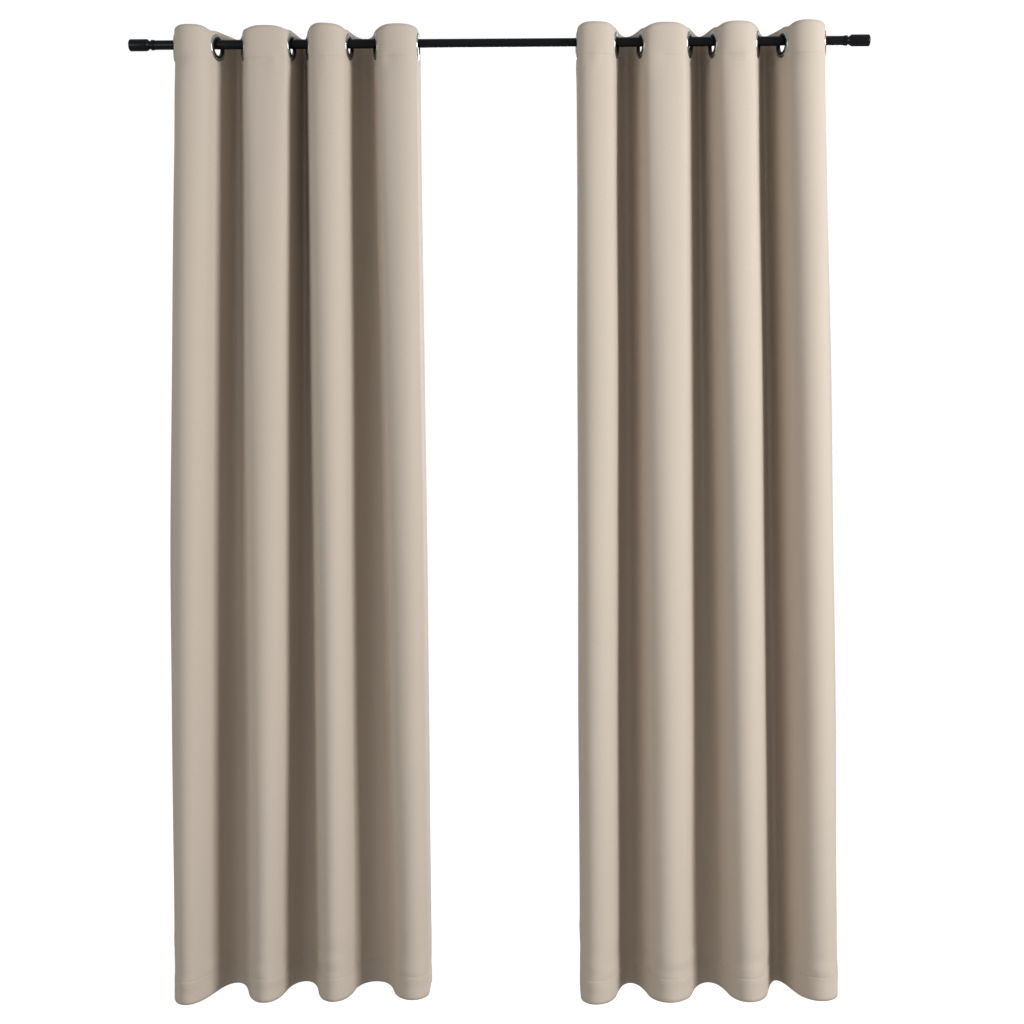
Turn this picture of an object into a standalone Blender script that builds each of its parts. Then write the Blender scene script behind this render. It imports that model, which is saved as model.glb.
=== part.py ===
"""A pair of eyelet curtains hanging on a telescoping rod.

Metres. X runs along the rod, -Y faces the room and +Z is up. The origin is on the rod's axis at mid-length.
Each panel is one width of cloth, folded to and fro between its eyelets. A rigid solid can't fold, so the
cloth is cut at the crest of every fold, and each piece hangs from its own eyelet.
"""

import math

import bmesh
import bpy
from mathutils import Matrix, Vector

GAP = 0.0003  # left between pieces that touch

# The rod: a centre tube that slides inside two outer tubes
ROD_HALF_LENGTH = 0.9235  # from the centre to the tip of a finial
CENTRE_TUBE_DIAMETER = 0.0212
TUBE_WALL = 0.0007
OUTER_TUBE_START = 0.25  # from the centre to the inner end of an outer tube
TUBE_OVERLAP = 0.30  # the length of centre tube inside each outer tube
OUTER_TUBE_DIAMETER = CENTRE_TUBE_DIAMETER + 2 * (GAP + TUBE_WALL)
TUBE_SIDES = 24

# The finials, and the collar on each end of the rod
BARREL_DIAMETER = 0.0295
BARREL_LENGTH = 0.0485
BARREL_CHAMFER = 0.005
TIP_CROWN = 0.002  # how far the end face stands proud of its rim
SHOULDER_LENGTH = 0.006
NECK_DIAMETER = 0.0200
NECK_LENGTH = 0.003
SPIGOT_LENGTH = 0.030
COLLAR_LENGTH = 0.008
COLLAR_WALL = 0.0009
COLLAR_CHAMFER = 0.0004
SPIGOT_DIAMETER = OUTER_TUBE_DIAMETER - 2 * TUBE_WALL - 2 * GAP
TUBE_END = ROD_HALF_LENGTH - BARREL_LENGTH - SHOULDER_LENGTH - NECK_LENGTH

# The eyelets: a front half whose throat goes through the cloth, and a washer behind it
HOLE_DIAMETER = 0.040
THROAT_WALL = 0.0012
FLANGE_WIDTH = 0.013
FLANGE_HEIGHT = 0.0034
FLANGE_LIP = 0.0017  # the flange's height where it rolls into the throat
FLANGE_RIM = 0.0008
CROWN_START = 0.25  # the flat of a flange's crown, as shares of the flange's width
CROWN_END = 0.625
WASHER_HEIGHT = 0.0026
EYELET_SIDES = 16
FLANGE_RADIUS = HOLE_DIAMETER / 2 + FLANGE_WIDTH

# The cloth
CLOTH_THICKNESS = 0.001
CLOTH_DROP = 2.45  # from the top edge to the hem
EYELET_PITCH = 0.18  # along the flat cloth
SIDE_MARGIN = 0.07  # from the last eyelet to the side of the cloth
TOP_MARGIN = FLANGE_RADIUS + 0.007  # from an eyelet's centre to the top edge
HEADING_DEPTH = 0.084
CLAMPED_HALF_WIDTH = FLANGE_RADIUS + 0.002  # the cloth beside an eyelet that its flange holds flat
HEM_FLAT_HALF_WIDTH = 0.012
HOLE_CUTTER_LENGTH = 12 * CLOTH_THICKNESS
DROP_ROWS = 3  # rows of faces between the heading and the hem
FOLD_STEPS = 4  # faces along each half of a fold
FIT_ROUNDS = 40  # halvings that bring a fold to its length

# An eyelet rests on the outer tube with the flat above its hole
EYELET_HEIGHT = OUTER_TUBE_DIAMETER / 2 + GAP - HOLE_DIAMETER / 2 * math.cos(math.pi / EYELET_SIDES)

# Each panel is measured from its outer end. Its folds take turns to stand forward and back.
PANELS = {
    "left": {
        "side": -1,
        "end_gap": 0.051,  # from the collar to the first eyelet
        "heading_folds": (0.106, 0.065, 0.120, 0.042, 0.102, 0.067, 0.104),
        "hem_folds": (0.099, 0.093, 0.094, 0.087, 0.091, 0.104, 0.093),
        "hem_flare": 0.041,  # how much further out the first eyelet's line is at the hem
        "hem_twist": (-0.012, 0.015),  # how far back the hem hangs at its outer and its leading end
        "eyelet_turns": (12, 19, 15, 10, 12, 11, 13, 1),  # degrees from square to the rod
    },
    "right": {
        "side": 1,
        "end_gap": 0.048,
        "heading_folds": (0.104, 0.062, 0.110, 0.059, 0.120, 0.062, 0.096),
        "hem_folds": (0.109, 0.073, 0.104, 0.093, 0.114, 0.080, 0.093),
        "hem_flare": 0.060,
        "hem_twist": (0.012, -0.016),
        "eyelet_turns": (10, 17, 15, 13, 18, 13, 12, 0),
    },
}

BLACK_METAL = ("black_metal", (0.012, 0.012, 0.013), 0.32, 0.7)
NICKEL = ("satin_nickel", (0.62, 0.61, 0.58), 0.28, 1.0)
BEIGE_CLOTH = ("beige_cloth", (0.62, 0.54, 0.46), 0.85, 0.0)


def clear_scene():
    for obj in list(bpy.data.objects):
        bpy.data.objects.remove(obj)


def new_collection(name):
    collection = bpy.data.collections.new(name)
    bpy.context.scene.collection.children.link(collection)
    return collection


def material_for(name, finish):
    _, colour, roughness, metallic = finish
    material = bpy.data.materials.new(f"{name}_{finish[0]}")
    material.use_nodes = True
    shader = material.node_tree.nodes["Principled BSDF"]
    shader.inputs["Base Color"].default_value = (*colour, 1)
    shader.inputs["Roughness"].default_value = roughness
    shader.inputs["Metallic"].default_value = metallic
    return material


def add_object(name, mesh, collection, finish=None):
    obj = bpy.data.objects.new(name, mesh)
    collection.objects.link(obj)
    if finish:
        mesh.materials.append(material_for(name, finish))
    return obj


def add_empty(name, location, collection):
    empty = bpy.data.objects.new(name, None)
    empty.location = location
    empty.empty_display_size = 0.02
    collection.objects.link(empty)
    return empty


def mesh_from(name, build):
    """A mesh whose bmesh the function build has filled."""
    bm = bmesh.new()
    build(bm)
    mesh = bpy.data.meshes.new(name)
    bm.to_mesh(mesh)
    bm.free()
    return mesh


def turned(name, profile, sides, collection, finish):
    """A profile of (radius, height) turned round Z. It starts at its top and runs down its outer side."""
    closed = profile[0][0] > 0

    def build(bm):
        points = [bm.verts.new((radius, 0, height)) for radius, height in profile]
        for first, second in zip(points, points[1:] + points[:1] if closed else points[1:]):
            bm.edges.new((first, second))

    obj = add_object(name, mesh_from(name, build), collection, finish)
    screw = obj.modifiers.new("turn", "SCREW")
    screw.steps = screw.render_steps = sides
    screw.use_merge_vertices = True
    screw.merge_threshold = 0.00001
    screw.use_smooth_shade = True
    return obj


def along_x(x, side):
    """A turned piece's own Z laid along X, pointing out from the rod's centre."""
    return Matrix.Translation((x, 0, 0)) @ Matrix.Rotation(side * math.pi / 2, 4, "Y")


def tube(name, diameter, start, end, collection):
    outside, inside = diameter / 2, diameter / 2 - TUBE_WALL
    profile = [(outside, end), (outside, start), (inside, start), (inside, end)]
    return turned(name, profile, TUBE_SIDES, collection, BLACK_METAL)


def finial(name, collection):
    """Its height runs from the spigot's inner end, below 0, to the tip. 0 is the end of the tube."""
    barrel_foot = NECK_LENGTH + SHOULDER_LENGTH
    tip = barrel_foot + BARREL_LENGTH
    barrel, neck, spigot = BARREL_DIAMETER / 2, NECK_DIAMETER / 2, SPIGOT_DIAMETER / 2
    profile = [
        (0, tip),
        (barrel - BARREL_CHAMFER, tip - TIP_CROWN / 2),
        (barrel, tip - BARREL_CHAMFER),
        (barrel, barrel_foot),
        (neck, NECK_LENGTH),
        (neck, GAP),
        (spigot, 0),
        (spigot, -SPIGOT_LENGTH),
        (0, -SPIGOT_LENGTH),
    ]
    return turned(name, profile, TUBE_SIDES, collection, BLACK_METAL)


def collar(name, collection):
    """A sleeve round the end of the tube, which is at height 0."""
    inside = OUTER_TUBE_DIAMETER / 2 + GAP
    outside = inside + COLLAR_WALL
    chamfered = outside - COLLAR_CHAMFER
    profile = [
        (inside, 0),
        (chamfered, 0),
        (outside, -COLLAR_CHAMFER),
        (outside, COLLAR_CHAMFER - COLLAR_LENGTH),
        (chamfered, -COLLAR_LENGTH),
        (inside, -COLLAR_LENGTH),
    ]
    return turned(name, profile, TUBE_SIDES, collection, BLACK_METAL)


def make_rod(collection):
    centre_half = OUTER_TUBE_START + TUBE_OVERLAP
    centre = tube("centre_tube", CENTRE_TUBE_DIAMETER, -centre_half, centre_half, collection)
    centre.matrix_world = along_x(0, 1)
    for side_name, panel in PANELS.items():
        side = panel["side"]
        carrier = add_empty(f"{side_name}_rod_end", (side * TUBE_END, 0, 0), collection)
        length = TUBE_END - OUTER_TUBE_START
        pieces = (
            tube(f"{side_name}_outer_tube", OUTER_TUBE_DIAMETER, -length, 0, collection),
            finial(f"{side_name}_finial", collection),
            collar(f"{side_name}_collar", collection),
        )
        for piece in pieces:
            piece.parent = carrier
            piece.matrix_local = along_x(0, side)


def eyelet_lines(panel, share):
    """[(distance from the outer end, turn)] of each eyelet's line. share is 0 at the rod and 1 at the hem."""
    at = -share * panel["hem_flare"]
    lines = [(at, math.radians(panel["eyelet_turns"][0]))]
    for top, bottom, turn in zip(panel["heading_folds"], panel["hem_folds"], panel["eyelet_turns"][1:]):
        at += top + (bottom - top) * share
        lines.append((at, math.radians(turn)))
    return lines


def bezier(ends, handles, t):
    first, last = ends
    near, far = handles
    return (
        (1 - t) ** 3 * first
        + 3 * (1 - t) ** 2 * t * (first + near)
        + 3 * (1 - t) * t**2 * (last + far)
        + t**3 * last
    )


def fold_curve(start, end, leave, arrive, length):
    """Points along a fold from start to end, whose own length is the cloth's length between them."""
    steps = 2 * FOLD_STEPS
    shortest, longest = 0.0, 2 * length
    points = []
    for _ in range(FIT_ROUNDS):
        reach = (shortest + longest) / 2
        points = [bezier((start, end), (leave * reach, arrive * reach), n / steps) for n in range(steps + 1)]
        if sum((b - a).length for a, b in zip(points, points[1:])) < length:
            shortest = reach
        else:
            longest = reach
    return points


def halves(points):
    """A fold cut at its crest, with room there for the thickness of both sides."""
    before, crest, after = points[FOLD_STEPS - 1 : FOLD_STEPS + 2]
    bend = (crest - before).angle(after - crest) / 2
    trim = (GAP + CLOTH_THICKNESS * math.sin(bend)) / 2 / math.cos(bend)
    return (
        points[:FOLD_STEPS] + [crest + trim * (before - crest).normalized()],
        [crest + trim * (after - crest).normalized()] + points[FOLD_STEPS + 1 :],
    )


def cloth_strips(panel, share):
    """For each eyelet, the points of its strip of cloth, as (distance from the outer end, Y)."""
    lines = eyelet_lines(panel, share)
    flat = CLAMPED_HALF_WIDTH + (HEM_FLAT_HALF_WIDTH - CLAMPED_HALF_WIDTH) * share
    folds = []
    for number, ((here, turn), (there, next_turn)) in enumerate(zip(lines, lines[1:])):
        towards = 1 if number % 2 else -1
        leave = Vector((math.sin(turn), towards * math.cos(turn)))
        arrive = Vector((-math.sin(next_turn), towards * math.cos(next_turn)))
        start, end = Vector((here, 0)) + flat * leave, Vector((there, 0)) + flat * arrive
        folds.append(halves(fold_curve(start, end, leave, arrive, EYELET_PITCH - 2 * flat)))
    strips = []
    for number, (here, turn) in enumerate(lines):
        middle = Vector((here, 0))
        if number == 0:
            back = Vector((-math.sin(turn), math.cos(turn)))
            before = [middle + SIDE_MARGIN * back, middle + flat * back]
        else:
            before = folds[number - 1][1]
        if number == len(lines) - 1:
            back = Vector((math.sin(turn), math.cos(turn)))
            after = [middle + flat * back, middle + SIDE_MARGIN * back]
        else:
            after = folds[number][0]
        strips.append(before + [middle] + after)
    (first, _), (last, _) = lines[0], lines[-1]
    outer_end, leading_end = panel["hem_twist"]

    def twisted(point):
        along = (point.x - first) / (last - first)
        return point + Vector((0, share * (outer_end + (leading_end - outer_end) * along)))

    return [[twisted(point) for point in strip] for strip in strips]


def row_heights():
    top = EYELET_HEIGHT + TOP_MARGIN
    stitch = top - HEADING_DEPTH
    hem = top - CLOTH_DROP
    return [top] + [stitch + (hem - stitch) * n / DROP_ROWS for n in range(DROP_ROWS + 1)]


def strip_mesh(name, rows, heights, outer, side, origin):
    """The strip's sheet, lofted from its heading down to its hem."""

    def build(bm):
        grid = []
        for points, height in zip(rows, heights):
            places = [Vector((side * (outer - across), depth, height)) - origin for across, depth in points]
            grid.append([bm.verts.new(place) for place in places])
        for upper, lower in zip(grid, grid[1:]):
            for n in range(len(upper) - 1):
                bm.faces.new((upper[n], upper[n + 1], lower[n + 1], lower[n]))

    mesh = mesh_from(name, build)
    mesh.shade_smooth()
    return mesh


def eyelet_front(name, collection):
    """0 is the middle of the cloth, and the face of the eyelet looks up its own Z."""
    seat = CLOTH_THICKNESS / 2 + GAP
    hole, throat = HOLE_DIAMETER / 2, HOLE_DIAMETER / 2 + THROAT_WALL
    crown = seat + FLANGE_HEIGHT
    foot = -seat - WASHER_HEIGHT - GAP
    profile = [
        (hole, seat + FLANGE_LIP),
        (hole + FLANGE_WIDTH * CROWN_START, crown),
        (hole + FLANGE_WIDTH * CROWN_END, crown),
        (FLANGE_RADIUS, seat + FLANGE_RIM),
        (FLANGE_RADIUS, seat),
        (throat, seat),
        (throat, foot),
        (hole, foot),
    ]
    return turned(name, profile, EYELET_SIDES, collection, NICKEL)


def eyelet_washer(name, collection):
    seat = -CLOTH_THICKNESS / 2 - GAP
    inside = HOLE_DIAMETER / 2 + THROAT_WALL + GAP
    profile = [
        (inside, seat),
        (FLANGE_RADIUS, seat),
        (FLANGE_RADIUS, seat - FLANGE_RIM),
        (inside + (FLANGE_RADIUS - inside) * CROWN_END, seat - WASHER_HEIGHT),
        (inside, seat - WASHER_HEIGHT),
    ]
    return turned(name, profile, EYELET_SIDES, collection, NICKEL)


def facing(across, depth):
    """A turn that brings a piece's own Z to the level direction (across, depth), with a flat side on top."""
    face = Vector((across, depth, 0)).normalized()
    up = Vector((0, 0, 1))
    basis = Matrix((up.cross(face), up, face)).transposed().to_4x4()
    return basis @ Matrix.Rotation(math.pi / EYELET_SIDES, 4, "Z")


def hole_cutter(name, collection):
    radius = HOLE_DIAMETER / 2 + THROAT_WALL + GAP
    ends = {"radius1": radius, "radius2": radius, "depth": HOLE_CUTTER_LENGTH}

    def build(bm):
        bmesh.ops.create_cone(bm, cap_ends=True, segments=EYELET_SIDES, **ends)

    cutter = add_object(name, mesh_from(name, build), collection)
    cutter.hide_render = True
    cutter.display_type = "WIRE"
    return cutter


def make_panel(side_name, panel, collection, cutters):
    side = panel["side"]
    outer = TUBE_END - COLLAR_LENGTH - panel["end_gap"]
    heights = row_heights()
    shares = [0.0] + [n / DROP_ROWS for n in range(DROP_ROWS + 1)]
    sections = [cloth_strips(panel, share) for share in shares]
    for number, (across, turn) in enumerate(eyelet_lines(panel, 0)):
        label = f"{side_name}_{{}}_{number + 1}"
        centre = Vector((side * (outer - across), 0, EYELET_HEIGHT))
        carrier = add_empty(label.format("carrier"), centre, collection)
        # An odd eyelet is on its fold's outer side, so its face looks out
        outward = 1 if number % 2 == 0 else -1
        pose = facing(side * outward * math.cos(turn), -math.sin(turn))

        rows = [section[number] for section in sections]
        name = label.format("cloth_fold")
        mesh = strip_mesh(name, rows, heights, outer, side, centre)
        cloth = add_object(name, mesh, collection, BEIGE_CLOTH)
        cloth.parent = carrier
        solidify = cloth.modifiers.new("thickness", "SOLIDIFY")
        solidify.thickness = CLOTH_THICKNESS
        solidify.offset = 0
        solidify.use_even_offset = True

        cutter = hole_cutter(label.format("hole"), cutters)
        cutter.parent = carrier
        cutter.matrix_local = pose
        hole = cloth.modifiers.new("hole", "BOOLEAN")
        hole.operation = "DIFFERENCE"
        hole.object = cutter

        for make, piece_name in ((eyelet_front, "eyelet"), (eyelet_washer, "washer")):
            piece = make(label.format(piece_name), collection)
            piece.parent = carrier
            piece.matrix_local = pose


def main():
    clear_scene()
    parts = new_collection("eyelet_curtains_on_rod")
    cutters = new_collection("cutters")
    cutters.hide_render = True
    make_rod(parts)
    for side_name, panel in PANELS.items():
        make_panel(side_name, panel, parts, cutters)


main()
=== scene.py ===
"""The looks of a pair of eyelet curtains on a telescoping rod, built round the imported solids.

Metres, in the model's own frame: X runs along the rod, -Y faces the room, +Z is up and the rod's axis is at
Z = 0. The cloth of each panel is one sheet. A point of it is named by its place on the flat cloth, which is
its distance from the panel's outer side and its height, and the folds then put it where it hangs.
"""

import math

import bmesh
import bpy
import numpy as np
from bpy.props import FloatProperty, FloatVectorProperty, IntProperty, PointerProperty
from mathutils import Matrix, Vector


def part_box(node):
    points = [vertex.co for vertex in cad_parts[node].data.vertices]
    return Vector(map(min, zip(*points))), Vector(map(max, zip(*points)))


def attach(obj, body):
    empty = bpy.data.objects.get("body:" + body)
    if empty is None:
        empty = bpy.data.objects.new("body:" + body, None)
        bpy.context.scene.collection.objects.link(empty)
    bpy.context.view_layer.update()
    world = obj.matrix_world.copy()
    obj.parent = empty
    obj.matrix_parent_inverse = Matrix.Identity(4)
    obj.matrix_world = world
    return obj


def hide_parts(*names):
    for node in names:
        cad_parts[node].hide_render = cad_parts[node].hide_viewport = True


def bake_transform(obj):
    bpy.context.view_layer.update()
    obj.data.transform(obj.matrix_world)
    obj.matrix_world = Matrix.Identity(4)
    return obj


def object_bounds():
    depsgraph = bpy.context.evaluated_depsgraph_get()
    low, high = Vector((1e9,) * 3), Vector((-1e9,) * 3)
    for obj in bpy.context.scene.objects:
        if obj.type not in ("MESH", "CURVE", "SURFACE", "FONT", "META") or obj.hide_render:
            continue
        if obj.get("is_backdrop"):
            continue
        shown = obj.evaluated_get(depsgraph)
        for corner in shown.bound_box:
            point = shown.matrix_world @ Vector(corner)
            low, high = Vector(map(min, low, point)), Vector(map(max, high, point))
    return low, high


bl_info = {
    "name": "Eyelet Curtains",
    "version": (1, 0, 0),
    "blender": (4, 5, 0),
    "location": "View3D > Sidebar > Curtains",
    "description": "Builds a pair of pleated eyelet curtains on a telescoping rod",
    "category": "Add Mesh",
}

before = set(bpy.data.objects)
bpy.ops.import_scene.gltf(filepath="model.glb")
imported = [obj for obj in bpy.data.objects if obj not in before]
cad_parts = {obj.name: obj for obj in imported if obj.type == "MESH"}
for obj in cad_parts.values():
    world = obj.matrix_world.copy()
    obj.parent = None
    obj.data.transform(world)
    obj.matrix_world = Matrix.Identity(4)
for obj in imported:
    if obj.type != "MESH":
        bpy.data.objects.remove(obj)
FRAME_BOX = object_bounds()

SIDES = {"left": -1, "right": 1}
EYELETS = 8

# The flat cloth
PANEL_WIDTH = 1.40
EYELET_PITCH = 0.18
SIDE_MARGIN = 0.07  # from the last eyelet to the side of the cloth
HEADING_DEPTH = 0.084  # from the top edge down to where the folds start to change towards the hem
SEAM_DEPTH = 0.075  # from the top edge to the heading's seam
SECOND_SEAM = 0.009  # from the heading's seam down to the line where its turning ends
HEM_DEPTH = 0.060
SIDE_HEM = 0.025
CLAMPED_HALF_WIDTH = 0.035  # the cloth beside an eyelet that its flange holds flat
HEM_FLAT_HALF_WIDTH = 0.012
CLOTH_HOLE_RADIUS = 0.0235  # cut in the cloth, under the flange

# How each panel hangs, measured from its outer end. The folds take turns to stand forward and back.
PANELS = {
    "left": {
        "end_gap": 0.051,  # from the collar to the first eyelet
        "heading_folds": (0.106, 0.065, 0.120, 0.042, 0.102, 0.067, 0.104),
        "hem_folds": (0.099, 0.093, 0.094, 0.087, 0.091, 0.104, 0.093),
        "hem_flare": 0.041,  # how much further out the first eyelet's line is at the hem
        "hem_twist": (-0.012, 0.015),  # how far back the hem hangs at its outer and its leading end
        "eyelet_turns": (12, 19, 15, 10, 12, 11, 13, 1),  # degrees from square to the rod
        "outer_bulge": 0.012,  # how far the outer fold swells outward half way down
        "hem_drop": 0.010,  # how much lower the hem hangs at the outer fold
        "creases": ((1.045, -1.79, 0.030, 0.020, 0.0022), (1.085, -1.72, 0.022, 0.028, 0.0014)),
        "seed": 11,
    },
    "right": {
        "end_gap": 0.048,
        "heading_folds": (0.104, 0.062, 0.110, 0.059, 0.120, 0.062, 0.096),
        "hem_folds": (0.109, 0.073, 0.104, 0.093, 0.114, 0.080, 0.093),
        "hem_flare": 0.060,
        "hem_twist": (0.012, -0.016),
        "eyelet_turns": (10, 17, 15, 13, 18, 13, 12, 0),
        "outer_bulge": 0.008,
        "hem_drop": 0.004,
        "creases": ((0.34, -1.31, 0.020, 0.030, 0.0009),),
        "seed": 23,
    },
}

# The heading of a front fold rises at its middle and sags at its two corners
DOME_RISE = 0.004
CORNER_SAG = 0.006
DOME_CORNER = 0.2  # of the way from one eyelet to the next
CORNER_WIDTH = 0.1  # of that way too

# The random patches of its wrinkles start below the hem and reach past the top edge
PATCH_FLOOR = 2.6
PATCH_SPAN = 2.8

# Wrinkles, as (how far they stand out, how wide they are, how high they are)
BODY_WAVES = ((0.0007, 0.034, 0.9), (0.0016, 0.085, 0.45))
SEAM_PUCKERS = ((0.0012, 0.020, 0.050), (0.0024, 0.055, 0.070))
HEM_PUCKERS = ((0.0007, 0.018, 0.040),)
LOW_FOLDS = ((0.0017, 0.080, 0.026),)
BODY_START = 0.10  # from the heading's seam down to where the body's waves are at their full size
PUCKERS_UNDER_SEAM = 0.034  # the distance in which the seam's puckers fade, under it
PUCKERS_OVER_SEAM = 0.012  # and over it
PUCKERS_BY_HEM = 0.018  # and in which the hem's fade, at both sides of its seam
LOW_FOLDS_START = 0.05  # from the hem up to where the low folds are at their full size
LOW_FOLDS_END = 0.06  # from the hem up to where they start to fade
LOW_FOLDS_FADE = 0.20
CREASE_SLANT = 0.5  # how far a crease's wave turns from level
CREASE_WAVE = 2.2  # how many radians of a wave lie in one depth of a crease
FLAT_BY_FLANGE = 0.016  # outside a flange, the width in which the wrinkles come in
EDGE_WAVE = (0.0018, 0.045)  # how high and how wide the top edge's waves are
EDGE_WAVE_FADE = 0.02

# The weave's streaks, as (width, length) on the flat cloth
WARP_STREAK = (0.00045, 0.006)
WEFT_STREAK = (0.005, 0.00055)
SLUB_STREAK = (0.004, 0.35)
CLOUD_PATCH = (0.11, 0.19)

# The lines that the seams draw into the cloth, as (depth, half width)
SEAM_LINE = (0.0008, 0.0016)
SECOND_SEAM_LINE = (0.0003, 0.0016)
HEM_LINE = (0.0005, 0.0018)
SIDE_LINE = (0.0004, 0.004)

# The stitches
STITCH_LENGTH = 0.0030
STITCH_PITCH = 0.0042
STITCH_RADIUS = 0.00028
STITCH_LIFT = 0.62  # above the cloth's middle, as a share of one layer's thickness
STITCH_END = 0.002  # from the cloth's side to a seam's first stitch
STITCH_CORNER = 0.004  # from the hem's seam up to a side seam's last stitch
STITCH_AROUND = 5
STITCH_RINGS = 4

# The sheet's mesh
COLUMN_STEP = 0.0052
FINE_ROW_STEP = 0.0013  # at a seam
COARSE_ROW_STEP = 0.024
ROW_GROWTH = 0.12  # how fast the rows widen away from a seam
FOLD_POINTS = 65
FIT_ROUNDS = 24  # halvings that bring a fold to its length
LEVELS = 40  # heights at which the folds are worked out
SEAM_STEP = 0.002  # how fast the cloth thickens to two layers at a seam
SIDE_STEP = 0.005  # and at a side hem

# The eyelets' metal, from the middle of the cloth
HOLE_RADIUS = 0.01965
THROAT_RADIUS = 0.0211
# the rolled lip is painted near-black as a reflection of the dark rod
LIP_RADIUS = 0.0272  # where the dark rolled lip ends
FLANGE_RADIUS = 0.033
SEAT = 0.0008
CROWN = 0.0042
LIP_FOOT = 0.0010  # above the seat
LIP_TUCK = 0.0002
ROLL_FULLNESS = 0.8  # under 1, a rolled rim is fuller than a half round
FLANGE_LAP = 0.0012  # how far the flange reaches in under the lip
FLANGE_DROP = 0.0004  # from the lip's crown to the flange's
FLANGE_RIM = 0.0009
FLANGE_ROUND = 0.0003
FLANGE_FULLNESS = 0.7
FLANGE_POINTS = 12
WASHER_FOOT = 0.0006
WASHER_CROWN = 0.0034
THROAT_FOOT = 0.0037
EYELET_STEPS = 96

# The rod
TUBE_WALL = 0.0007
TUBE_STEPS = 96
TUBE_EDGE_ROUND = 0.00035
BARREL_LENGTH = 0.0485
BARREL_ROUND = 0.0050
TIP_CROWN = 0.0016
TIP_POINTS = 6
SHOULDER_LENGTH = 0.0060
SHOULDER_ROUND = 0.0012
NECK_RADIUS = 0.0100
NECK_LENGTH = 0.0030
WAIST_RISE = 0.0004
SPIGOT_RADIUS = 0.0104
SPIGOT_LENGTH = 0.0300
COLLAR_ROUND = 0.0004
GAP = 0.0003

# The camera, in front of the curtains and a little above their middle
CAMERA_PLACE = (0.077, -3.728, -0.934)
CAMERA_YAW = 0.718  # degrees, to the left
CAMERA_PITCH = 3.624  # degrees, down
CAMERA_ROLL = -0.191
CAMERA_LENS = 51.72
CAMERA_SENSOR = 36.0

# Each soft light: its place, its width and height, and its colour
LIGHTS = {
    "key": ((3.9, -2.5, 0.2), (1.6, 2.6), (0.92, 0.96, 1.0)),
    "fill": ((-3.0, -3.6, -0.6), (2.4, 2.8), (0.93, 0.97, 1.0)),
    "back": ((0.8, 4.2, -0.3), (2.6, 2.8), (0.93, 0.97, 1.0)),
}

# The surroundings and the floor
SKY_LIGHT = 0.365
SKY_SEEN = 0.66  # added where it is looked at
SKY_MIRRORED = 0.14  # added where it is mirrored
SKY_TINT = (0.93, 0.97, 1.0, 1)
FLOOR_RADIUS = 4.0
FLOOR_FADE = 1.3  # from here out, the floor melts into the white behind it
FLOOR_CLEAR = 3.7  # and from here out it is gone
FLOOR_GLOW = 0.78  # only where it is looked at, so that it throws little light on the hems
FLOOR_TONES = ((0.38, 0.38, 0.375, 1), (0.42, 0.42, 0.415, 1))


def smooth(t):
    t = np.clip(t, 0, 1)
    return t * t * (3 - 2 * t)


def arc(centre, radius, start, end, steps=6):
    """Points (radius, height) round a centre, between two angles in degrees."""
    angles = [math.radians(start + (end - start) * n / steps) for n in range(steps + 1)]
    return [(centre[0] + radius * math.cos(a), centre[1] + radius * math.sin(a)) for a in angles]


# ---- how a panel hangs ----


def eyelet_lines(panel, share):
    """[(distance from the outer end, turn)] of each eyelet's line. share is 0 at the rod and 1 at the hem."""
    at = -share * panel["hem_flare"]
    lines = [(at, math.radians(panel["eyelet_turns"][0]))]
    for top, bottom, turn in zip(panel["heading_folds"], panel["hem_folds"], panel["eyelet_turns"][1:]):
        at += top + (bottom - top) * share
        lines.append((at, math.radians(turn)))
    return lines


def fold_line(start, end, leave, arrive, length):
    """Points along a fold and their distances along it, whose whole length is the cloth's between them."""
    t = np.linspace(0, 1, FOLD_POINTS)[:, None]
    weights = ((1 - t) ** 3, 3 * (1 - t) ** 2 * t, 3 * (1 - t) * t**2, t**3)
    shortest, longest = 0.0, 2 * length
    points, run = None, None
    for _ in range(FIT_ROUNDS):
        reach = (shortest + longest) / 2
        corners = (start, start + leave * reach, end + arrive * reach, end)
        points = sum(weight * corner for weight, corner in zip(weights, corners))
        run = np.hypot(*np.diff(points, axis=0).T)
        if run.sum() < length:
            shortest = reach
        else:
            longest = reach
    return points, np.concatenate(([0.0], np.cumsum(run)))


def section(panel, share):
    """The cloth's line at one height: flat distances, and points (distance from the outer end, Y)."""
    lines = eyelet_lines(panel, share)
    flat = CLAMPED_HALF_WIDTH + (HEM_FLAT_HALF_WIDTH - CLAMPED_HALF_WIDTH) * share
    length = EYELET_PITCH - 2 * flat
    (first, first_turn), (last, last_turn) = lines[0], lines[-1]
    outer_side = np.array((first, 0)) + SIDE_MARGIN * np.array((-math.sin(first_turn), math.cos(first_turn)))
    distances, points = [np.array([0.0])], [outer_side[None]]
    for number, ((here, turn), (there, next_turn)) in enumerate(zip(lines, lines[1:])):
        towards = 1 if number % 2 else -1
        leave = np.array((math.sin(turn), towards * math.cos(turn)))
        arrive = np.array((-math.sin(next_turn), towards * math.cos(next_turn)))
        start, end = np.array((here, 0)) + flat * leave, np.array((there, 0)) + flat * arrive
        line, run = fold_line(start, end, leave, arrive, length)
        distances.append(SIDE_MARGIN + EYELET_PITCH * number + flat + run * length / run[-1])
        points.append(line)
    inner_side = np.array((last, 0)) + SIDE_MARGIN * np.array((math.sin(last_turn), math.cos(last_turn)))
    distances.append(np.array([PANEL_WIDTH]))
    points.append(inner_side[None])
    distances, points = np.concatenate(distances), np.concatenate(points)
    outer_end, leading_end = panel["hem_twist"]
    along = (points[:, 0] - first) / (last - first)
    points[:, 1] += share * (outer_end + (leading_end - outer_end) * along)
    swell = panel["outer_bulge"] * 4 * share * (1 - share)
    points[:, 0] -= swell * np.exp(-distances / EYELET_PITCH)
    return distances, points


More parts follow.
